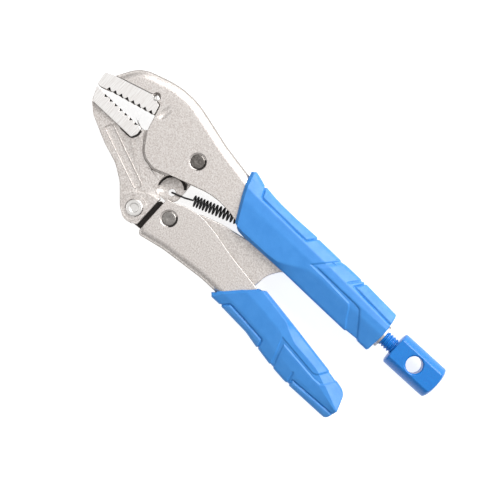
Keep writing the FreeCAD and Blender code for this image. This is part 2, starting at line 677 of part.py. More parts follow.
whole = FreeCAD.BoundBox()
for piece in pieces:
    whole.add(piece.Shape.optimalBoundingBox(False, False))
shift = FreeCAD.Vector(-whole.Center.x, -whole.Center.y, -whole.ZMin)
for piece in pieces:
    piece.Placement = FreeCAD.Placement(shift, FreeCAD.Rotation()).multiply(piece.Placement)
doc.recompute()
print("jaw pivot at", [round(v, 4) for v in shift], "box", [round(v, 2) for v in (
    whole.XLength, whole.YLength, whole.ZLength)])  # fmt: skip

for thing in doc.Objects:
    if any(word in thing.State for word in ("Invalid", "Error")):
        raise RuntimeError(f"{thing.Name} failed: {thing.State}")
os.makedirs("parts", exist_ok=True)
for piece in pieces:
    shape = piece.Shape
    if shape.isNull() or not shape.isValid():
        raise RuntimeError(f"{piece.Label} has no valid shape")
    print(f"{piece.Label}: {len(shape.Solids)} solid, {shape.Volume / 1000:.3f} cm3")
    shape.exportStep(f"parts/{piece.Label}.step")
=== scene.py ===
import json
import math

import bmesh
import bpy
import numpy as np
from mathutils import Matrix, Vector, noise
from mathutils.geometry import delaunay_2d_cdt


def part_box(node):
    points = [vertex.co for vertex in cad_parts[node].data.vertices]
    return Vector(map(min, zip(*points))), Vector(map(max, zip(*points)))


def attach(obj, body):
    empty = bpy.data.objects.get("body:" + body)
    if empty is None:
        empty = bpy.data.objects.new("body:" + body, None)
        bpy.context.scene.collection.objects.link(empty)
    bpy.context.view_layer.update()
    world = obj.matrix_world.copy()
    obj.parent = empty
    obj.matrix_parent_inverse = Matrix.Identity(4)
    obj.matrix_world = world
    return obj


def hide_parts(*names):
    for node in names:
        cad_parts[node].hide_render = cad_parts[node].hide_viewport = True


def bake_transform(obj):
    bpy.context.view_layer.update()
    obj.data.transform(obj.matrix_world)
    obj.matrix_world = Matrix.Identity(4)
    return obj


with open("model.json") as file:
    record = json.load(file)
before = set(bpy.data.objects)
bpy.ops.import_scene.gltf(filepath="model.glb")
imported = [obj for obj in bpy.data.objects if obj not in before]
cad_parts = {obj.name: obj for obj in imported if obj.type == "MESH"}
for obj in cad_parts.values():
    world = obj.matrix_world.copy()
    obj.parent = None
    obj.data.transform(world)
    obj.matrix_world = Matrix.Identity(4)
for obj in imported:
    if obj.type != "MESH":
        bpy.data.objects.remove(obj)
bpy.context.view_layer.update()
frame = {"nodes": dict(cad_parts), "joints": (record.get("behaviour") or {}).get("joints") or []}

# Locking pliers, lying on their side.  Places are in millimetres from the jaw
# pivot, with +X along the adjusting screw, +Y to the back of the upper handle
# and +Z up out of the tool's side; at() turns them into metres of the frame.

MM = 0.001
PIVOT = Vector(next(j["pos_m"] for j in frame["joints"] if j["name"] == "jaw_pivot"))


def at(x, y, z=0.0):
    """A place in millimetres from the jaw pivot, in metres of the frame."""
    return PIVOT + Vector((x, y, z)) * MM


def in_mm(point):
    """A place in the frame, back in millimetres from the jaw pivot."""
    return (Vector(point) - PIVOT) / MM


def axis_of(joint):
    """Where a joint's axis lies, seen from the side."""
    place = in_mm(next(j["pos_m"] for j in frame["joints"] if j["name"] == joint))
    return round(place.x, 2), round(place.y, 2)


def half_width(node):
    """How far a node reaches out from the mid-plane."""
    return round(in_mm(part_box(node)[1]).z, 2)


LEVER_PIVOT = axis_of("lever_pivot")
LINK_PIVOT = axis_of("link_pivot")
SCREW_Y = axis_of("screw_turn")[1]
CHEEK = half_width("handle_channel")
LEVER_CHEEK = half_width("lever_channel")
JAW_BODY = 6.0  # half thickness of the moving jaw below its toothed bar
EAR = 6.7  # half width over the moving jaw's ears


# ---- finishes -----------------------------------------------------------


def linear(hex_colour):
    """An sRGB hex colour as the linear RGBA that the shaders take."""
    parts = [int(hex_colour[i : i + 2], 16) / 255 for i in (1, 3, 5)]
    return (*[p / 12.92 if p <= 0.04045 else ((p + 0.055) / 1.055) ** 2.4 for p in parts], 1.0)


def add(tree, kind, inputs=(), **settings):
    """Adds a node; each input takes a value or another node's output."""
    node = tree.nodes.new(kind)
    for name, value in settings.items():
        setattr(node, name, value)
    for socket, value in dict(inputs).items():
        if isinstance(value, bpy.types.NodeSocket):
            tree.links.new(value, node.inputs[socket])
        else:
            node.inputs[socket].default_value = value
    return node


def finish(name, metallic, ior=None):
    """A new material: its node tree, its shader and its coordinates in metres."""
    material = bpy.data.materials.new(name)
    material.use_nodes = True
    tree = material.node_tree
    shader = next(n for n in tree.nodes if n.type == "BSDF_PRINCIPLED")
    shader.inputs["Metallic"].default_value = metallic
    if ior:
        shader.inputs["IOR"].default_value = ior
    place = add(tree, "ShaderNodeTexCoord").outputs["Object"]
    return material, tree, shader, place


def per(size_mm):
    """Noise scale that makes one feature about this many millimetres."""
    return 1 / (size_mm * MM)


def blotches(tree, shader, place, size_mm, dark, light, rough):
    """Colour and roughness that drift between two values; gives back the noise."""
    low, high = 0.35, 0.65  # most of the noise lies between these
    cloud = add(tree, "ShaderNodeTexNoise", {
        "Vector": place, "Scale": per(size_mm), "Detail": 4.0, "Roughness": 0.6})
    share = add(tree, "ShaderNodeMapRange", {
        "Value": cloud.outputs["Fac"], "From Min": low, "From Max": high})
    mixed = add(tree, "ShaderNodeMix", {
        "Factor": share.outputs[0], "A": linear(dark), "B": linear(light)}, data_type="RGBA")
    tree.links.new(mixed.outputs["Result"], shader.inputs["Base Color"])
    sheen = add(tree, "ShaderNodeMapRange", {
        "Value": cloud.outputs["Fac"], "From Min": low, "From Max": high,
        "To Min": rough[1], "To Max": rough[0]})
    tree.links.new(sheen.outputs[0], shader.inputs["Roughness"])
    return cloud.outputs["Fac"]


def bumped(tree, shader, height, depth_mm):
    """Stands the height out of the surface by about depth_mm."""
    bump = add(tree, "ShaderNodeBump", {"Height": height, "Distance": depth_mm * MM, "Strength": 1.0})
    tree.links.new(bump.outputs["Normal"], shader.inputs["Normal"])


def satin_nickel(name, dark, light, grain_mm, depth_mm, rough):
    """Nickel plate over tumbled steel: a warm grey with a fine grain that the
    plating softens but does not hide, so the sheet looks lightly speckled.
    The tumbled grain is finer than this; it is drawn as coarse as it needs to show."""
    material, tree, shader, place = finish(name, 1.0)
    grain = blotches(tree, shader, place, grain_mm, dark, light, rough)
    bumped(tree, shader, grain, depth_mm)
    return material


def ground_steel(name):
    """Flats ground on a belt: near-white, with fine straight streaks across.
    A belt's scratches are finer than this; they are drawn wide enough to show."""
    material, tree, shader, place = finish(name, 1.0)
    turned = add(tree, "ShaderNodeMapping", {
        "Vector": place, "Rotation": (0, 0, math.radians(-28)), "Scale": (1.0, 0.06, 1.0)})
    streak = blotches(tree, shader, turned.outputs[0], 0.55, "#DEDAD7", "#FBF9F7", (0.36, 0.5))
    bumped(tree, shader, streak, 0.03)
    return material


def dark_rivet(name, dark, light):
    """Bare steel dulled by oil: a dark grey metal with uneven, blotchy sheen."""
    material, tree, shader, place = finish(name, 1.0)
    stain = blotches(tree, shader, place, 0.9, dark, light, (0.3, 0.5))
    bumped(tree, shader, stain, 0.08)
    return material


def painted_shade_finish(name):
    """Painted shade for grooves and corners: matt and nearly black."""
    material, tree, shader, place = finish(name, 0.0, 1.47)
    crumbs = blotches(tree, shader, place, 0.6, "#191614", "#322D2A", (0.85, 0.98))
    bumped(tree, shader, crumbs, 0.05)
    return material


def black_wire(name):
    """Oiled music wire: black oxide, smooth enough for a bright line along each turn."""
    material, tree, shader, place = finish(name, 0.0, 1.5)
    grain = blotches(tree, shader, place, 0.5, "#0C0C0D", "#1B1B1D", (0.28, 0.4))
    bumped(tree, shader, grain, 0.02)
    return material


def moulded_grip(name, base, lit, depth_mm, grain_mm, rough):
    """Blue moulded polypropylene: satin, with the grain that its mould was given."""
    material, tree, shader, place = finish(name, 0.0, 1.49)
    blotches(tree, shader, place, 6.0, base, lit, rough)
    grain = add(tree, "ShaderNodeTexVoronoi", {
        "Vector": place, "Scale": per(grain_mm), "Randomness": 0.9}, feature="SMOOTH_F1")
    bumped(tree, shader, grain.outputs["Distance"], depth_mm)
    return material


def blue_enamel(name):
    """Sprayed enamel on steel: deeper blue than the grips, and a little glossier."""
    material, tree, shader, place = finish(name, 0.0, 1.5)
    peel = blotches(tree, shader, place, 1.4, "#086CBE", "#1074C4", (0.26, 0.34))
    bumped(tree, shader, peel, 0.04)
    return material


def bright_plate(name):
    """Bright plating: smoother and whiter than the satin sheet round it."""
    material, tree, shader, place = finish(name, 1.0)
    blotches(tree, shader, place, 1.0, "#E6E2DE", "#F7F5F3", (0.22, 0.34))
    return material


plated = satin_nickel("satin_nickel_plate", "#BDB5B0", "#E6E1DD", 0.75, 0.10, (0.40, 0.54))
forged = satin_nickel("nickel_on_forging", "#B9B1AC", "#E4DFDB", 0.85, 0.16, (0.42, 0.58))
ground = ground_steel("ground_steel")
gunmetal = dark_rivet("bare_rivet_steel", "#57534F", "#87827E")
worn_steel = dark_rivet("wiped_rivet_steel", "#7C7875", "#A29E9A")
# painted shade: a darker nickel for the faces of bends and cut edges that turn away from the camera
edge_shade_plate = satin_nickel("plate_with_painted_edge_shade", "#938D88", "#B3AEA9", 0.75, 0.10, (0.44, 0.58))
# painted shade: a nearly black matt finish laid in grooves, corners and rings where shade falls
shade_black = painted_shade_finish("painted_shade_black")
wire_black = black_wire("oiled_spring_wire")
grip_blue = moulded_grip("moulded_blue_grip", "#2F7DC6", "#3783CB", 0.02, 0.5, (0.36, 0.44))
pad_blue = moulded_grip("textured_grip_pad", "#3880C6", "#4087CC", 0.12, 1.1, (0.46, 0.56))
enamel = blue_enamel("blue_enamel")
bright = bright_plate("worn_bright_plate")


# ---- making meshes ------------------------------------------------------


def new_piece(name, mesh, materials, body=None, stands_for=()):
    """Puts a mesh in the scene as a piece that rides on a body."""
    piece = bpy.data.objects.new(name, mesh)
    bpy.context.scene.collection.objects.link(piece)
    mesh.materials.clear()
    for material in materials:
        mesh.materials.append(material)
    if stands_for:
        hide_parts(*stands_for)
    if body:
        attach(piece, body)
    return piece


def from_mm(name, points, faces):
    """A mesh from places in millimetres."""
    mesh = bpy.data.meshes.new(name)
    mesh.from_pydata([at(*p) for p in points], [], faces)
    mesh.validate()
    return mesh


def shaded(mesh, angle):
    """Smooth shading, with edges sharper than the angle kept crisp."""
    mesh.shade_smooth()
    mesh.set_sharp_from_angle(angle=math.radians(angle))
    return mesh


def evaluated(piece):
    """The mesh that a piece's modifiers make."""
    graph = bpy.context.evaluated_depsgraph_get()
    return bpy.data.meshes.new_from_object(piece.evaluated_get(graph))


def with_modifiers(mesh, modifiers):
    """The mesh after modifiers, given as (kind, settings)."""
    scratch = bpy.data.objects.new("scratch", mesh)
    bpy.context.scene.collection.objects.link(scratch)
    for kind, settings in modifiers:
        modifier = scratch.modifiers.new(kind.lower(), kind)
        for name, value in settings.items():
            setattr(modifier, name, value)
    bpy.context.view_layer.update()
    result = evaluated(scratch)
    bpy.data.objects.remove(scratch)
    return result


def refilled(mesh):
    """The mesh with its many-sided flat faces filled again by triangles that
    all face the same way, which keeps rolled corners from folding them over."""
    most_sides = 6
    work = bmesh.new()
    work.from_mesh(mesh)
    for face in [f for f in work.faces if len(f.verts) > most_sides]:
        corners = list(face.verts)
        start = corners[0].co.copy()
        side = face.normal.orthogonal().normalized()
        up = face.normal.cross(side)
        flat = [Vector(((v.co - start).dot(side), (v.co - start).dot(up))) / MM for v in corners]
        places, _, triangles, sources, _, _ = delaunay_2d_cdt(flat, [], [list(range(len(flat)))], 1, 1e-5)
        made = []
        for place, source in zip(places, sources):
            if source:
                made.append(corners[source[0]])
            else:
                made.append(work.verts.new(start + (side * place.x + up * place.y) * MM))
        work.faces.remove(face)
        for triangle in triangles:
            three = [made[i] for i in triangle]
            if len(set(three)) == 3 and not work.faces.get(three):
                work.faces.new(three)
    bmesh.ops.delete(work, geom=[e for e in work.edges if not e.link_faces], context="EDGES")
    filled = bpy.data.meshes.new("filled")
    work.to_mesh(filled)
    work.free()
    return filled


def rolled_edges(mesh, width_mm, share=None, trim=None):
    """The mesh with its sharp edges rolled over; share(middle) scales the width
    and trim(place) first moves corners within their own flat."""
    least_turn = math.radians(32)
    work = bmesh.new()
    work.from_mesh(mesh)
    bmesh.ops.remove_doubles(work, verts=work.verts, dist=2e-6)
    bmesh.ops.dissolve_limit(
        work, angle_limit=math.radians(1), verts=work.verts, edges=work.edges)
    bmesh.ops.dissolve_degenerate(work, edges=work.edges, dist=0.02 * MM)
    if trim:
        for corner in work.verts:
            corner.co = at(*trim(in_mm(corner.co)))
    sharp = work.edges.layers.float.new("bevel_weight_edge")
    for edge in work.edges:
        if edge.is_convex and edge.calc_face_angle(0) > least_turn:
            middle = in_mm((edge.verts[0].co + edge.verts[1].co) / 2)
            edge[sharp] = share(middle) if share else 1.0
    rounded = bpy.data.meshes.new("rounded")
    work.to_mesh(rounded)
    work.free()
    rolled = refilled(with_modifiers(rounded, [("BEVEL", {
        "limit_method": "WEIGHT", "width": width_mm * MM, "segments": 3,
        "use_clamp_overlap": False, "miter_outer": "MITER_ARC"})]))
    places = np.array([v.co for v in mesh.vertices])
    low, high = places.min(axis=0), places.max(axis=0)
    for vertex in rolled.vertices:
        vertex.co = np.clip(vertex.co, low, high)
    return rolled


def softened(name, node, width_mm, materials, body, share=None, dents=(), trim=None):
    """Stands in for a CAD node, with its edges rolled as tumbling leaves them."""
    mesh = frame["nodes"][node].data.copy()
    if dents:
        mesh = cut(mesh, dents)
    mesh = shaded(rolled_edges(mesh, width_mm, share, trim), 35)
    mesh = with_modifiers(mesh, [("WEIGHTED_NORMAL", {"keep_sharp": True, "weight": 60})])
    return new_piece(name, mesh, materials, body, (node,))


def paint_faces(piece, material, wanted):
    """Gives faces another of the piece's materials; wanted(centre, normal)."""
    index = piece.data.materials.find(material.name)
    for polygon in piece.data.polygons:
        if wanted(in_mm(polygon.center), polygon.normal):
            polygon.material_index = index


def cut(piece_mesh, cutters):
    """The mesh less each cutter."""
    scratch = []
    modifiers = []
    for cutter in cutters:
        tool = bpy.data.objects.new("cutter", cutter)
        bpy.context.scene.collection.objects.link(tool)
        scratch.append(tool)
        modifiers.append(("BOOLEAN", {"operation": "DIFFERENCE", "object": tool, "solver": "EXACT"}))
    result = with_modifiers(piece_mesh, modifiers)
    for tool in scratch:
        bpy.data.objects.remove(tool)
    return result


def slab(corners, half):
    """A flat-sided solid of an outline, mirrored about the mid-plane."""
    count = len(corners)
    points = [(x, y, -half) for x, y in corners] + [(x, y, half) for x, y in corners]
    faces = [list(reversed(range(count))), list(range(count, 2 * count))]
    for i in range(count):
        j = (i + 1) % count
        faces.append((i, j, count + j, count + i))
    return from_mm("slab", points, faces)


def lathe(profile, centre, axis="Z", turns=64, wobble=0.0):
    """A turned solid; the profile is (radius, height) from one end to the other."""
    points = []
    faces = []
    for i, (radius, height) in enumerate(profile):
        for k in range(turns):
            turn = 2 * math.pi * k / turns
            reach = radius + wobble * noise.noise(Vector((math.cos(turn), math.sin(turn), height)))
            a = reach * math.cos(turn)
            b = reach * math.sin(turn)
            offset = (a, b, height) if axis == "Z" else (height, a, b)
            points.append(tuple(c + o for c, o in zip(centre, offset)))
        if i:
            for k in range(turns):
                n = (k + 1) % turns
                low = (i - 1) * turns
                faces.append((low + k, low + n, i * turns + n, i * turns + k))
    faces.append(tuple(reversed(range(turns))))
    faces.append(tuple(range((len(profile) - 1) * turns, len(profile) * turns)))
    return from_mm("turned", points, faces)


def swept(path, radius, sides=8):
    """A round wire along a path of places in millimetres, closed at its ends."""
    line = [Vector(p) for p in path]
    up = Vector((0, 0, 1))
    points = []
    faces = []
    for i, here in enumerate(line):
        along = (line[min(i + 1, len(line) - 1)] - line[max(i - 1, 0)]).normalized()
        side = up.cross(along)
        if side.length < 1e-3:
            side = Vector((1, 0, 0)).cross(along)
        side.normalize()
        up = along.cross(side).normalized()
        for k in range(sides):
            turn = 2 * math.pi * k / sides
            points.append(here + (side * math.cos(turn) + up * math.sin(turn)) * radius)
        if i:
            low = (i - 1) * sides
            for k in range(sides):
                n = (k + 1) % sides
                faces.append((low + k, low + n, low + sides + n, low + sides + k))
    faces.append(tuple(reversed(range(sides))))
    faces.append(tuple(range((len(line) - 1) * sides, len(line) * sides)))
    return from_mm("wire", points, faces)


def join(name, meshes):
    """One mesh of several."""
    work = bmesh.new()
    for mesh in meshes:
        work.from_mesh(mesh)
    whole = bpy.data.meshes.new(name)
    bmesh.ops.recalc_face_normals(work, faces=work.faces)
    work.to_mesh(whole)
    work.free()
    return whole


# ---- grips --------------------------------------------------------------


def curve(*points, soft=1.2):
    """A smooth function through points, which takes arrays."""
    xs, ys = np.array(points, float).T

    def value(x):
        steps = np.linspace(-soft, soft, 7)
        return sum(np.interp(x + step, xs, ys) for step in steps) / len(steps)

    return value


def line_distance(x, y, corners, closed=False):
    """Distance from each place to a line of corners."""
    best = np.full(np.shape(x), 1e9)
    ends = corners[1:] + corners[:1] if closed else corners[1:]
    for (ax, ay), (bx, by) in zip(corners, ends):
        dx, dy = bx - ax, by - ay
        share = np.clip(((x - ax) * dx + (y - ay) * dy) / (dx * dx + dy * dy), 0, 1)
        best = np.minimum(best, np.hypot(x - ax - share * dx, y - ay - share * dy))
    return best


def inside(x, y, corners):
    """Signed distance into a closed outline: positive inside it."""
    within = np.zeros(np.shape(x), bool)
    for (ax, ay), (bx, by) in zip(corners, corners[1:] + corners[:1]):
        crosses = (ay > y) != (by > y)
        reach = (bx - ax) * (y - ay) / (by - ay if by != ay else 1e-9) + ax
        within ^= crosses & (x < reach)
    distance = line_distance(x, y, corners, closed=True)
    return np.where(within, distance, -distance)


def ease(value, start, end):
    """0 before start, 1 after end, and smooth between."""
    share = np.clip((value - start) / (end - start), 0, 1)
    return share * share * (3 - 2 * share)


def groove(distance, half_width):
    """1 on the line and 0 beyond its half width."""
    return np.exp(-((distance / half_width) ** 2))


def sleeve(name, front, rear, section, counts, relief, along):
    """A moulded sleeve: loops of a section that changes along the handle.

    front and rear give x at a height; section(x) gives the corners of the
    right half from the top centre to the bottom centre; relief(x, y) is how
    far the surface stands out at a place seen from the side; counts gives
    the steps between corners, and along the number of loops."""
    rim = 0.9  # radius of the rear edge
    lip = 1.7  # length of the front chamfer
    share = np.linspace(0, 1, along)[:, None]
    corners = len(counts) + 1
    x = np.full((along, corners), 0.0) + share * 100 + 30
    # the ends' places depend on the height there, so both settle together
    for _ in range(12):
        y = np.stack([section(x[:, k])[k][0] for k in range(corners)], axis=1)
        x = front(y) + share * (rear(y) - front(y))
    y = np.stack([section(x[:, k])[k][0] for k in range(corners)], axis=1)
    z = np.stack([section(x[:, k])[k][1] for k in range(corners)], axis=1)
    grid = np.stack([x, y, z], axis=2)
    half = []
    for k, count in enumerate(counts):
        for step in range(count):
            half.append(grid[:, k] + (grid[:, k + 1] - grid[:, k]) * step / count)
    half.append(grid[:, -1])
    half = np.stack(half, axis=1)
    mirror = half[:, -2:0:-1] * np.array([1, 1, -1])
    loops = np.concatenate([half, mirror], axis=1)
    for _ in range(4):
        loops = (np.roll(loops, 1, 1) + 2 * loops + np.roll(loops, -1, 1)) / 4

    def normals():
        du = np.gradient(loops, axis=0)
        dv = np.roll(loops, -1, 1) - np.roll(loops, 1, 1)
        out = np.cross(dv, du)
        return out / np.maximum(np.linalg.norm(out, axis=2, keepdims=True), 1e-9)

    outward = normals()
    from_front = loops[:, :, 0] - loops[0:1, :, 0]
    from_rear = loops[-1:, :, 0] - loops[:, :, 0]
    flat = outward * np.array([0.3, 1, 1])
    near = np.clip(rim - from_rear, 0, rim)
    drop = rim - np.sqrt(np.maximum(rim * rim - near * near, 0))
    # the front lip is a flat chamfer with a soft edge
    chamfer = 1.05 * np.clip(lip - from_front, 0, lip)
    drop = drop + chamfer * ease(lip + 0.35 - from_front, 0.0, 0.7)
    loops = loops - flat * drop[:, :, None]
    standing = relief(loops[:, :, 0], loops[:, :, 1])
    loops = loops + outward * standing[:, :, None]
    around = loops.shape[1]
    middle = around // 2
    points = [tuple(p) for p in loops.reshape(-1, 3)]
    faces = []
    for i in range(along - 1):
        for k in range(around):
            n = (k + 1) % around
            faces.append((i * around + k, i * around + n, (i + 1) * around + n, (i + 1) * around + k))
    for base, flip in ((0, True), ((along - 1) * around, False)):
        for k in range(middle):
            quad = [base + k, base + k + 1, base + (around - k - 1) % around, base + (around - k) % around]
            quad = list(dict.fromkeys(quad))
            faces.append(tuple(reversed(quad)) if flip else tuple(quad))
    return join(name, [from_mm(name, points, faces)])


# the handle's own room inside its grip, and the slot open below it
UPPER_SEAT = [
    (20.0, 15.0), (40.0, 10.6), (104.0, 9.0), (121.5, 4.6), (134.0, 3.6), (134.0, -9.0),
    (118.0, -9.6), (60.0, -10.3), (37.3, -10.1), (20.0, -8.3),
]  # fmt: skip
UPPER_SLOT = [(20.0, 4.0), (100.0, 4.0), (100.0, -20.0), (20.0, -20.0)]
# the front half ends in a step that runs down from the back in a long V
UPPER_V = [
    (96.4, 15.3), (93.8, 12.2), (83.2, -0.2), (94.6, -0.5), (112.8, -1.7), (114.4, -3.4),
    (117.5, -8.5), (121.2, -13.6), (122.6, -16.0), (150.0, -16.0), (150.0, 25.0), (100.0, 25.0),
]  # fmt: skip
UPPER_INNER = [
    (78.0, 1.5), (87.1, 1.2), (93.4, 0.9), (116.6, 0.3), (119.4, -0.3), (120.8, -1.9),
    (124.8, -7.1), (129.9, -13.8), (131.6, -16.5), (150.0, -16.5), (150.0, 25.0), (78.0, 25.0),
]  # fmt: skip
UPPER_FRONT_PAD = [
    (36.2, 15.8), (36.8, 14.4), (39.0, 9.6), (40.0, 9.0), (72.1, 7.9), (73.0, 8.1), (76.2, 12.2),
    (78.5, 15.0), (78.5, 25.0), (34.0, 25.0),
]  # fmt: skip
UPPER_REAR_PAD = [(109.0, 7.0), (150.0, 4.2), (150.0, 25.0), (116.0, 25.0), (112.6, 11.8)]
UPPER_CREASE = [(105.2, 6.3), (109.8, 11.8), (112.0, 14.5)]


def step_up(distance):
    """0 outside a moulded step and 1 inside it, with a short slope between."""
    return ease(distance, -0.45, 0.45)


def pads_and_crease(x, y, pads, crease):
    """Raised pads, each in its groove, and the crease beside the rear one."""
    height = 0.0
    for pad, rise in pads:
        into_pad = inside(x, y, pad)
        height += rise * ease(into_pad, 0.2, 0.9) - 0.75 * groove(into_pad, 0.42)
    return height - 0.6 * groove(line_distance(x, y, crease), 0.5)


def upper_relief(x, y):
    """How far the upper grip's steps, pads and grooves stand out."""
    into_v = inside(x, y, UPPER_V)
    into_inner = inside(x, y, UPPER_INNER)
    # the inner step fades out towards the V's tip
    tip_x, tip_y = UPPER_V[2]
    behind_tip = (x - tip_x) * 0.76 - (y - tip_y) * 0.65
    island = step_up(into_inner) * ease(behind_tip, 0.3, 3.2)
    height = -0.6 * step_up(into_v) * (1 - island)
    height -= 0.2 * groove(into_inner, 0.7) * ease(behind_tip, 1.0, 3.0) * ease(into_v, 0.0, 0.5)
    return height + pads_and_crease(x, y, [(UPPER_FRONT_PAD, 0.22), (UPPER_REAR_PAD, 0.18)], UPPER_CREASE)


upper_top = curve(
    (20.0, 19.0), (25.6, 18.2), (30.4, 17.0), (36.0, 15.1), (44.4, 14.0), (49.8, 13.5), (61.6, 13.2),
    (76.0, 13.4), (80.0, 13.3), (93.6, 13.0), (109.4, 12.7), (137.2, 11.0), (145.0, 10.4),
)  # fmt: skip
upper_bottom = curve(
    (20.0, -12.6), (38.5, -12.8), (45.9, -13.7), (76.6, -13.4), (107.0, -14.1), (121.2, -14.3),
    (129.0, -13.9), (145.0, -14.3),
)  # fmt: skip
upper_front = curve(
    (-14.5, 43.0), (-13.2, 40.2), (-12.4, 38.5), (-10.5, 36.7), (-5.7, 34.2), (2.5, 30.3), (9.5, 27.1),
    (13.4, 26.0), (16.8, 25.1), (18.1, 25.8), (21.0, 27.6), soft=0.5,
)  # fmt: skip
upper_rear = curve(
    (-14.5, 137.4), (-13.0, 137.9), (-6.9, 138.5), (5.1, 138.2), (10.6, 137.2), (14.0, 136.7))
upper_ridge = curve((20.0, 8.2), (35.6, 7.6), (75.9, 6.5), (94.0, 5.9), (138.0, 3.8), (145.0, 3.5))
upper_fall = curve(
    (20.0, -11.0), (45.0, -11.9), (62.0, -11.9), (68.7, -11.2), (72.9, -9.2), (82.4, -4.1), (84.5, -3.2),
    (91.4, -2.5), (98.9, -2.7), (137.3, -2.9), (145.0, -2.9),
)  # fmt: skip
upper_bottom_half = curve((20.0, 8.9), (62.0, 8.9), (70.0, 8.6), (84.0, 7.8), (145.0, 7.7))


def upper_section(x):
    """Corners (y, z) of the upper grip's right half."""
    top = upper_top(x)
    low = upper_bottom(x)
    ridge = upper_ridge(x)
    fall = upper_fall(x)
    return [
        (top, 0 * x), (top - 0.15, 4.2 + 0 * x), (top - 1.4, 6.4 + 0 * x), (ridge, 10.0 + 0 * x),
        (1.2 + 0 * x, 10.68 + 0 * x), (fall, 10.5 + 0 * x), (low + 0.5, upper_bottom_half(x)),
        (low, upper_bottom_half(x) - 1.2), (low, 0 * x),
    ]


LEVER_SEAT = [
    (50.0, -26.0), (68.7, -29.2), (95.0, -33.4), (128.0, -39.4), (137.5, -42.6), (137.5, -52.6),
    (120.0, -52.2), (90.0, -49.3), (56.4, -46.3), (50.0, -46.2),
]  # fmt: skip
LEVER_SLOT = [(58.0, -20.0), (84.0, -20.0), (84.0, -40.0), (58.0, -40.0)]
LOWER_V = [
    (102.9, -57.5), (103.7, -54.4), (98.4, -39.7), (123.6, -43.1), (125.8, -42.6), (127.2, -41.0),
    (130.8, -35.6), (133.0, -32.0), (160.0, -32.0), (160.0, -62.0), (104.5, -62.0),
]  # fmt: skip
LOWER_INNER = [
    (107.0, -58.0), (105.9, -54.9), (103.9, -49.6), (101.7, -42.1), (126.8, -45.2), (131.1, -44.9),
    (133.2, -42.9), (137.7, -36.2), (140.0, -33.0), (160.0, -33.0), (160.0, -62.0), (108.0, -62.0),
]  # fmt: skip
LOWER_FRONT_PAD = [
    (61.4, -50.3), (62.2, -49.4), (65.3, -45.9), (67.0, -45.8), (90.6, -48.4), (91.6, -49.2),
    (92.3, -52.4), (92.8, -55.0), (60.0, -55.0),
]  # fmt: skip
LOWER_REAR_PAD = [(118.4, -53.6), (150.0, -52.7), (150.0, -62.0), (119.0, -62.0), (118.6, -57.0)]
LOWER_CREASE = [(115.9, -50.6), (117.3, -55.6), (117.8, -58.0)]


def lower_relief(x, y):
    """How far the lower grip's steps, pads and grooves stand out."""
    into_v = inside(x, y, LOWER_V)
    into_inner = inside(x, y, LOWER_INNER)
    height = -0.55 * step_up(into_v) * (1 - step_up(into_inner))
    height -= 0.12 * groove(into_inner, 0.6)
    return height + pads_and_crease(x, y, [(LOWER_FRONT_PAD, 0.22), (LOWER_REAR_PAD, 0.22)], LOWER_CREASE)


lower_top = curve(
    (45.0, -26.2), (70.4, -26.4), (73.6, -26.7), (94.8, -30.0), (128.4, -35.8), (134.2, -36.9),
    (141.0, -38.5), (146.0, -40.4), (152.0, -44.0),
)  # fmt: skip
lower_bottom = curve(
    (45.0, -49.6), (62.2, -49.8), (81.8, -51.1), (93.0, -53.6), (104.8, -55.8), (115.0, -56.9),
    (135.0, -56.9), (152.0, -56.9),
)  # fmt: skip
lower_front = curve(
    (-52.0, 54.6), (-49.6, 53.3), (-48.2, 53.4), (-41.0, 59.8), (-35.0, 65.6), (-29.8, 70.5),
    (-27.4, 72.9), (-26.0, 75.2), (-24.0, 78.0), soft=0.5,
)  # fmt: skip
lower_rear = curve(
    (-58.0, 143.6), (-56.4, 145.9), (-55.4, 147.0), (-52.9, 147.5), (-48.0, 148.1), (-44.8, 147.7),
    (-41.6, 145.9), (-39.2, 143.0), (-38.0, 140.7), (-35.0, 137.0), soft=0.5,
)  # fmt: skip
# the top's bright facet begins part-way along and widens to the rear
lower_facet = curve(
    (45.0, -27.6), (73.0, -28.2), (94.7, -31.9), (98.9, -34.6), (105.4, -37.6), (123.9, -40.0),
    (135.0, -44.2), (147.0, -49.5),
)  # fmt: skip
lower_facet_half = curve((45.0, 9.4), (94.0, 9.6), (106.0, 10.1), (147.0, 10.1))
lower_keel = curve((45.0, -43.6), (66.0, -43.9), (92.0, -46.5), (120.0, -51.0), (147.0, -51.6))


def lower_section(x):
    """Corners (y, z) of the lower grip's right half."""
    top = lower_top(x)
    low = lower_bottom(x)
    facet = lower_facet(x)
    keel = lower_keel(x)
    middle = facet + (keel - facet) * 0.42
    return [
        (top, 0 * x), (top - 0.1, 5.4 + 0 * x), (top - 0.8, 7.2 + 0 * x), (facet, lower_facet_half(x)),
        (middle, 10.2 + 0 * x), (keel, 9.2 + 0 * x), (low + 0.8, 7.6 + 0 * x), (low, 6.4 + 0 * x),
        (low, 0 * x),
    ]


def grip_piece(name, node, body, mesh, cutters, pads):
    """Hollows a sleeve out for its handle and gives its pads their texture."""
    mesh = shaded(cut(mesh, cutters), 50)
    piece = new_piece(name, mesh, [grip_blue, pad_blue], body, (node,))
    places = np.array([in_mm(p.center) for p in piece.data.polygons])
    textured = np.zeros(len(places), bool)
    for pad in pads:
        textured |= inside(places[:, 0], places[:, 1], pad) > 0.5
    for polygon, rough in zip(piece.data.polygons, textured):
        polygon.material_index = int(rough)
    return piece


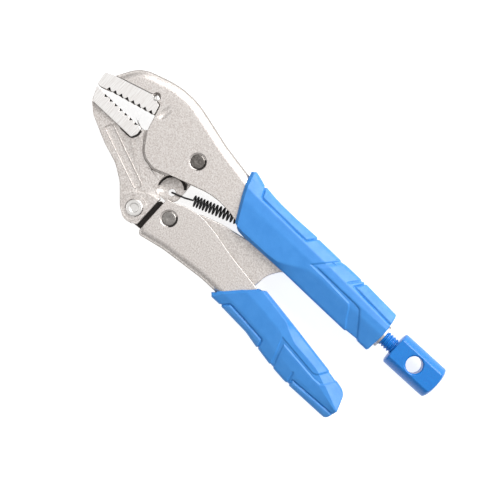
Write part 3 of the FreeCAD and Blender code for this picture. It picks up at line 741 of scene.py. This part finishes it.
upper_mesh = sleeve(
    "upper_sleeve", upper_front, upper_rear, upper_section,
    (10, 8, 22, 18, 16, 22, 4, 6), upper_relief, 420)
barrel_hole = lathe([(6.8, 120.0), (6.8, 150.0)], (0, SCREW_Y, 0), axis="X")
grip_piece(
    "upper_grip_sleeve", "upper_grip", "upper_handle", upper_mesh,
    [slab(UPPER_SEAT, CHEEK), slab(UPPER_SLOT, 5.2), barrel_hole], [UPPER_FRONT_PAD, UPPER_REAR_PAD],
)  # fmt: skip
lower_mesh = sleeve(
    "lower_sleeve", lower_front, lower_rear, lower_section,
    (12, 6, 18, 24, 22, 14, 4, 6), lower_relief, 360)
grip_piece(
    "lower_grip_sleeve", "lower_grip", "lever", lower_mesh,
    [slab(LEVER_SEAT, LEVER_CHEEK), slab(LEVER_SLOT, 4.8)], [LOWER_FRONT_PAD, LOWER_REAR_PAD],
)  # fmt: skip


# ---- jaws, channel, lever and link --------------------------------------

# where each row of teeth starts, and how far it leans in degrees
UPPER_TEETH = (-64.9, -4.25)
UPPER_LEAN = 13.3
LOWER_TEETH = (-64.9, -6.55)
LOWER_LEAN = -1.0
ROW_REACH = 2.2  # a little more than the depth of a groove
TAB = (-0.6, -21.0)  # the spring tab's middle
SEAM = (-65.0, 4.6)  # the front end of the weld between the cheeks and the fixed jaw
SEAM_SLOPE = 0.285
WELD_HOLE = (-39.9, 10.4)  # the hole in each cheek that a spot of weld fills
PANEL = [(-50.9, -20.3), (-48.5, -15.8), (-13.4, -30.1), (-15.7, -34.3)]


def near_weld(middle):
    """No roll along the welded seam between the cheeks and the fixed jaw."""
    from_seam = (middle.y - SEAM[1]) - (middle.x - SEAM[0]) * SEAM_SLOPE
    return 0.12 if middle.x < -35.5 and abs(from_seam) < 1.2 else 1.0


def on_bend(c, n):
    """The bends and cut edges of a sheet, which face away from its sides and get painted shade."""
    return abs(n.z) < 0.5


def on_bar_side(c, n):
    """The flat sides of a jaw's toothed bar."""
    return abs(n.z) > 0.9 and abs(c.z) > 7.2


def dent(x, y, width, height, depth, side):
    """The domed end of a punch that leaves a shallow hollow in one cheek."""
    crown = 6.0
    slope = 0.35
    profile = [(math.sin(math.pi * i / 16), math.cos(math.pi * i / 16)) for i in range(1, 16)]
    punch = lathe(profile, (0.0, 0.0, 0.0), turns=24)
    for vertex in punch.vertices:
        place = in_mm(vertex.co)
        out = crown - depth + place.z * crown + slope * place.x
        vertex.co = at(x + place.x * width, y + place.y * height, side * (CHEEK + out))
    return join("dent", [punch])


channel = softened(
    "upper_handle_channel", "handle_channel", 0.35, [plated, edge_shade_plate],
    "upper_handle", near_weld, dents=[dent(-30.9, 7.8, 4.4, 10.4, 0.8, side) for side in (1, -1)])
# painted shade: a darker nickel on the bends and cut edges sets off the sheet's outline
paint_faces(channel, edge_shade_plate, on_bend)


def past_row(start, lean):
    """Tells how far a place is past a row of teeth, square to the row."""
    turn = math.radians(lean)
    return lambda c: (c.y - start[1]) * math.cos(turn) - (c.x - start[0]) * math.sin(turn)


past_upper = past_row(UPPER_TEETH, UPPER_LEAN)
past_lower = past_row(LOWER_TEETH, LOWER_LEAN)


def along_row(lean, distance):
    """A step along a row of teeth, away from the jaw's tip."""
    turn = math.radians(lean)
    return Vector((math.cos(turn), math.sin(turn), 0.0)) * distance


def upper_trim(place):
    """Sets the upper grooves back along their row, clear of the jaw's tip."""
    if -67.0 < place.x < -36.6 and abs(past_upper(place)) < ROW_REACH:
        return place + along_row(UPPER_LEAN, 1.6)
    return place


def lower_trim(place):
    """Sets the lower grooves back, and draws the panel out towards the ears."""
    if -67.0 < place.x < -39.4 and abs(past_lower(place)) < ROW_REACH:
        return place + along_row(LOWER_LEAN, 2.6)
    if -24.0 < place.x < -16.0 and -34.0 < place.y < -26.0 and abs(place.z) > 5.0:
        return place + Vector((4.8, -2.0, 0.0))
    return place


def in_upper_groove(c, n):
    """The walls of the upper row's grooves, where shade is painted."""
    return -66.0 < c.x < -35.7 and abs(n.z) < 0.6 and 0.1 < past_upper(c) < ROW_REACH


def in_lower_groove(c, n):
    """The walls of the lower row's grooves, where shade is painted."""
    return -66.0 < c.x < -37.0 and abs(n.z) < 0.6 and -ROW_REACH < past_lower(c) < -0.1


nose = softened(
    "fixed_jaw_forging", "fixed_jaw", 0.22, [forged, ground, shade_black],
    "upper_handle", near_weld, trim=upper_trim)
paint_faces(nose, ground, on_bar_side)
# painted shade makes the grooves' walls nearly black
paint_faces(nose, shade_black, in_upper_groove)


def jaw_roll(middle):
    """The forging's outer edge is rolled widest, and the ground bar's least."""
    if middle.x < -60.0:
        return 0.3
    if line_distance(middle.x, middle.y, PANEL, closed=True) < 0.7:
        return 0.4
    if middle.y < -28.5 and middle.x > -8.0:
        return 0.35
    from_tab = math.hypot(middle.x - TAB[0], middle.y - TAB[1])
    if middle.y < -19.5 and abs(middle.z) < 6.3 and from_tab > 9.0:
        return min(1.0, 0.3 + (middle.x + 60.0) * 0.15)
    if abs(middle.z) > 7.0 and (middle.x > -36.5 or middle.y < -13.5):
        return 0.9
    return 0.35


def in_bar_corner(c, n):
    """The bar's lower and rear walls, where they meet the body and shadow is painted."""
    rear = -36.4 < c.x < -33.8 and n.x > 0.2
    lower = -15.6 < c.y < -13.4 and -63.0 < c.x < -34.0 and n.y < -0.3
    return abs(c.z) > 6.05 and abs(n.z) < (0.93 if rear else 0.7) and (rear or lower)


jaw = softened(
    "moving_jaw_forging", "moving_jaw", 0.7, [forged, ground, shade_black],
    "moving_jaw", jaw_roll, trim=lower_trim)
paint_faces(jaw, ground, on_bar_side)
# painted shade makes the lower grooves' walls nearly black too
paint_faces(jaw, shade_black, in_lower_groove)
# painted shadow on the bar's lower and rear walls where they step down to the body
paint_faces(jaw, shade_black, in_bar_corner)


def rim_bead(corners, height, radius):
    """A raised bead along a closed outline with soft corners."""
    soft = 1.3
    path = []
    for i, (x, y) in enumerate(corners):
        here = Vector((x, y, height))
        before = Vector((*corners[i - 1], height)) - here
        after = Vector((*corners[(i + 1) % len(corners)], height)) - here
        start = here + before.normalized() * soft
        end = here + after.normalized() * soft
        for step in range(7):
            share = step / 6
            path.append(tuple(start.lerp(here, share).lerp(here.lerp(end, share), share)))
    return swept(path + path[:2], radius)


def boss_ring(side):
    """A low bead round an ear's boss."""
    turns = [i * math.pi / 32 for i in range(65)]
    x, y = LEVER_PIVOT
    return swept([(x + 6.9 * math.cos(t), y + 6.9 * math.sin(t), side * (EAR - 0.1)) for t in turns], 0.24)


def shade_line(corners, height, radius):
    """A dark line of painted shade in a corner, on a smooth path through its corners."""
    path = [Vector((*corner, height)) for corner in corners]
    rounds = [path[0]]
    for before, here, after in zip(path, path[1:], path[2:]):
        for step in range(1, 6):
            share = step / 6
            start = before.lerp(here, 0.5)
            end = here.lerp(after, 0.5)
            rounds.append(start.lerp(here, share).lerp(here.lerp(end, share), share))
    rounds.append(path[-1])
    return swept([tuple(p) for p in rounds], radius)


def ring_arc(pivot, radius, spread):
    """Part of the ring round a rivet, on its rear side or, if negative, its front."""
    turns = [math.radians(turn) for turn in range(-spread, spread + 1, 9)]
    return [(pivot[0] + radius * math.cos(t), pivot[1] + radius * math.sin(t)) for t in turns]


bosses = join("boss", [boss_ring(side) for side in (1, -1)])
new_piece("ear_boss_ring", shaded(bosses, 60), [forged], "moving_jaw")
rims = join("bead", [rim_bead(PANEL, side * (JAW_BODY - 0.02), 0.24) for side in (1, -1)])
new_piece("jaw_panel_bead", shaded(rims, 60), [forged], "moving_jaw")

# dark lines of painted shade lie round the spring tab, in the bar's corner and round the lever rivet's
# head
POCKET_RADIUS = 7.5
POCKET = [
    (TAB[0] - POCKET_RADIUS * math.cos(t), TAB[1] + POCKET_RADIUS * math.sin(t))
    for t in (math.radians(turn) for turn in range(-20, 150, 10))
]  # fmt: skip
BAR_END = [(-44.0, -14.6), (-36.6, -14.9), (-35.2, -13.6), (-34.0, -11.2), (-34.3, -8.4)]
HEAD_RING = 4.75
lines = []
for side in (1, -1):
    lines.append(shade_line(POCKET, side * 1.75, 0.8))
    for radius in (HEAD_RING, -HEAD_RING):
        lines.append(shade_line(ring_arc(LEVER_PIVOT, radius, 45), side * EAR, 0.22))
    lines.append(shade_line(BAR_END, side * (JAW_BODY + 0.05), 0.55))
corner_shade = shaded(join("corner_shade", lines), 60)
new_piece("jaw_corner_painted_shade", corner_shade, [shade_black], "moving_jaw")


def weld(side):
    """One lumpy spot of weld in the cheek's hole."""
    profile = [(2.05, 5.6), (1.95, 7.2), (1.5, 7.75), (0.8, 7.98), (0.05, 8.02)]
    return lathe([(r, side * h) for r, h in profile], (*WELD_HOLE, 0.0), turns=40, wobble=0.35)


beads = shaded(join("weld", [weld(side) for side in (1, -1)]), 50)
new_piece("nose_weld_spots", beads, [bright], "upper_handle")


def on_tongue(c, n):
    """The sides of the lever's pressed tongue, between the jaw's ears."""
    return abs(n.z) > 0.9 and abs(c.z) < 3.0 and c.x < 2.5


lever = softened(
    "lever_channel_stamping", "lever_channel", 0.35, [plated, shade_black, edge_shade_plate], "lever")
# painted shade on the lever's bends and cut edges, as on the channel
paint_faces(lever, edge_shade_plate, on_bend)
# painted shade keeps the tongue's sides dark between the jaw's ears
paint_faces(lever, shade_black, on_tongue)
softened("toggle_link_plate", "toggle_link", 0.6, [plated], "toggle_link")

# ---- rivets -------------------------------------------------------------


def flush_rivet(name, node, place, cheek, body, metal):
    """A rivet spun flush into its countersink: a low crown with a dimple, and
    a dark line of painted shade in the rear half of the ring round it."""
    rise = [
        (0.02, -0.28), (0.7, -0.26), (1.3, -0.1), (2.2, 0.0), (3.2, -0.02), (3.75, -0.12), (4.0, -0.4)]
    upper = [(radius, cheek + height) for radius, height in rise]
    profile = upper + [(radius, -height) for radius, height in reversed(upper)]
    mesh = shaded(join(name, [lathe(profile, (*place, 0.0), wobble=0.05)]), 40)
    # painted shade: a dark arc in the rear half of the ring round the rivet
    ring_shade = [shade_line(ring_arc(place, 4.35, 54), side * (cheek - 0.15), 0.3) for side in (1, -1)]
    new_piece(name + "_ring_painted_shade", shaded(join("ring", ring_shade), 60), [shade_black], body)
    new_piece(name, mesh, [metal], body, (node,))


flush_rivet("jaw_rivet", "jaw_pivot_rivet", (0.0, 0.0), CHEEK, "upper_handle", gunmetal)
flush_rivet("link_rivet_pin", "link_rivet", LINK_PIVOT, LEVER_CHEEK, "lever", worn_steel)
softened("lever_rivet_pin", "lever_rivet", 0.2, [bright], "moving_jaw")

# ---- screw and spring ---------------------------------------------------

PITCH = 1.8
THREAD_START = 97.8
THREAD_END = 148.4
# the thread's radius at each share of its pitch: root, flank, rounded crest, flank
THREAD = [
    (0.0, 3.72), (0.16, 3.72), (0.42, 4.42), (0.5, 4.5), (0.66, 4.5), (0.74, 4.42), (1.0, 3.72)]


def threaded_rod(start, end):
    """A right-hand thread cut on the rod."""
    turns = 48
    steps_a_pitch = 14
    shares, radii = zip(*THREAD)
    steps = int((end - start) / PITCH * steps_a_pitch)
    points = []
    faces = []
    for i in range(steps + 1):
        x = start + (end - start) * i / steps
        for k in range(turns):
            turn = k / turns
            radius = np.interp((x / PITCH - turn) % 1.0, shares, radii)
            angle = 2 * math.pi * turn
            points.append((x, SCREW_Y + radius * math.cos(angle), radius * math.sin(angle)))
        if i:
            low = (i - 1) * turns
            for k in range(turns):
                n = (k + 1) % turns
                faces.append((low + k, low + n, low + turns + n, low + turns + k))
    faces.append(tuple(reversed(range(turns))))
    faces.append(tuple(range(steps * turns, (steps + 1) * turns)))
    return join("thread", [from_mm("thread", points, faces)])


def slimmed(piece, core, widest):
    """Thins the plain rod, so that it lies inside the thread."""
    for vertex in piece.data.vertices:
        place = in_mm(vertex.co)
        reach = math.hypot(place.y - SCREW_Y, place.z)
        if THREAD_START - 0.8 < place.x < THREAD_END - 0.1 and reach < widest:
            shrink = core / max(reach, 0.1)
            vertex.co = at(place.x, SCREW_Y + (place.y - SCREW_Y) * shrink, place.z * shrink)


knob = softened("screw_knob", "adjusting_screw", 0.35, [enamel], "adjusting_screw")
slimmed(knob, 3.3, 4.7)
thread = shaded(threaded_rod(THREAD_START, THREAD_END), 60)
new_piece("screw_thread", thread, [enamel], "adjusting_screw")

JAW_HOOK = (0.6, -22.0)  # where the spring hooks into the jaw's tab
SPRING_ANGLE = math.radians(19.2)
SPRING_RADIUS = 2.75
WIRE_RADIUS = 0.52
COIL_RISE = 0.6  # the coil hangs a little off the line between its hooks
COIL_START = 12.0
COIL_END = 49.5
SPRING_END = 58.0
SPRING_TURNS = 18


def spring_path():
    """The wire's centre line, from under the jaw's tab to under the anchor."""
    hook = [
        (3.2, 0, -2.3), (2.2, 0, -2.75), (1.0, 0, -2.8), (0.25, 0, -2.2), (0.0, 0, -1.0), (0.0, 0, 0.4),
        (0.1, 0, 1.4), (0.6, 0, 2.1), (1.6, 0, 2.4), (4.0, 0, 2.5), (8.0, 0, 2.5),
    ]  # fmt: skip
    first = COIL_START + 0.5
    last = COIL_END - 0.5
    steps_a_turn = 24
    steps = SPRING_TURNS * steps_a_turn
    path = list(hook)
    for i in range(steps + 1):
        share = i / steps
        spread = share + 0.06 * math.sin(math.pi * share) * (share - 1)
        turn = 2 * math.pi * i / steps_a_turn
        x = first + (last - first) * spread
        path.append((x, COIL_RISE + SPRING_RADIUS * math.sin(turn), SPRING_RADIUS * math.cos(turn)))
    path += [(SPRING_END - x, y, z) for x, y, z in reversed(hook)]
    c = math.cos(SPRING_ANGLE)
    s = math.sin(SPRING_ANGLE)
    return [(JAW_HOOK[0] + x * c - y * s, JAW_HOOK[1] + x * s + y * c, z) for x, y, z in path]


spring = new_piece(
    "tension_spring", shaded(join("spring", [swept(spring_path(), WIRE_RADIUS, 12)]), 60),
    [wire_black], stands_for=("jaw_spring",),
)  # fmt: skip
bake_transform(spring)

ring = frame["nodes"]["screw_stop_ring"]
ring.data.materials.clear()
ring.data.materials.append(wire_black)

# ---- floor, light and camera --------------------------------------------

MIDDLE = (53.5, -16.5)  # the tool's middle, under the camera
SCREW_TURN = math.atan2(0.6730, 0.7396)  # the screw slopes down to the right by this much
CAMERA_HEIGHT = 1200.0
FLOOR_HALF = 3.0

centre = at(*MIDDLE)
floor_corners = [(FLOOR_HALF * x, FLOOR_HALF * y) for x, y in ((-1, -1), (1, -1), (1, 1), (-1, 1))]
floor_mesh = bpy.data.meshes.new("floor")
floor_mesh.from_pydata([(centre.x + x, centre.y + y, 0.0) for x, y in floor_corners], [], [(0, 1, 2, 3)])
floor = bpy.data.objects.new("floor", floor_mesh)
bpy.context.scene.collection.objects.link(floor)
# white sweep paper, which gives off a little light so that it stays white under the tool
paper, _, paper_shader, _ = finish("white_paper", 0.0, 1.5)
paper_shader.inputs["Base Color"].default_value = linear("#B4B4B4")
paper_shader.inputs["Roughness"].default_value = 0.9
paper_shader.inputs["Emission Color"].default_value = linear("#FFFFFF")
paper_shader.inputs["Emission Strength"].default_value = 0.8
floor_mesh.materials.append(paper)

world = bpy.data.worlds.new("studio")
bpy.context.scene.world = world
world.use_nodes = True
sky = world.node_tree
background = next(n for n in sky.nodes if n.type == "BACKGROUND")
height = add(sky, "ShaderNodeSeparateXYZ", {"Vector": add(sky, "ShaderNodeTexCoord").outputs["Generated"]})
lift = add(sky, "ShaderNodeMapRange", {
    "Value": height.outputs["Z"], "From Min": 0.0, "From Max": 1.0, "To Min": 0.12, "To Max": 0.8})
sky.links.new(lift.outputs[0], background.inputs["Strength"])
background.inputs["Color"].default_value = linear("#FFFFFF")


def soft_light(name, place, width, tall, power):
    """A soft box that looks at the tool."""
    lamp = bpy.data.lights.new(name, "AREA")
    lamp.shape = "RECTANGLE"
    lamp.size = width
    lamp.size_y = tall
    lamp.energy = power
    light = bpy.data.objects.new(name, lamp)
    light.location = centre + Vector(place)
    light.rotation_euler = (centre - light.location).to_track_quat("-Z", "Y").to_euler()
    bpy.context.scene.collection.objects.link(light)


soft_light("key", (0.25, 1.1, 0.75), 1.4, 1.2, 30.0)
soft_light("fill", (-0.9, -0.5, 1.3), 1.0, 1.0, 3.0)
bpy.context.scene.view_settings.view_transform = "Standard"

camera_data = bpy.data.cameras.new("camera")
camera_data.lens = 157.2
camera_data.sensor_width = 36.0
camera_data.clip_end = 20.0
camera = bpy.data.objects.new("camera", camera_data)
camera.location = at(*MIDDLE, CAMERA_HEIGHT)
camera.rotation_euler = (0.0, 0.0, SCREW_TURN)
bpy.context.scene.collection.objects.link(camera)
bpy.context.scene.camera = camera

bpy.context.view_layer.update()
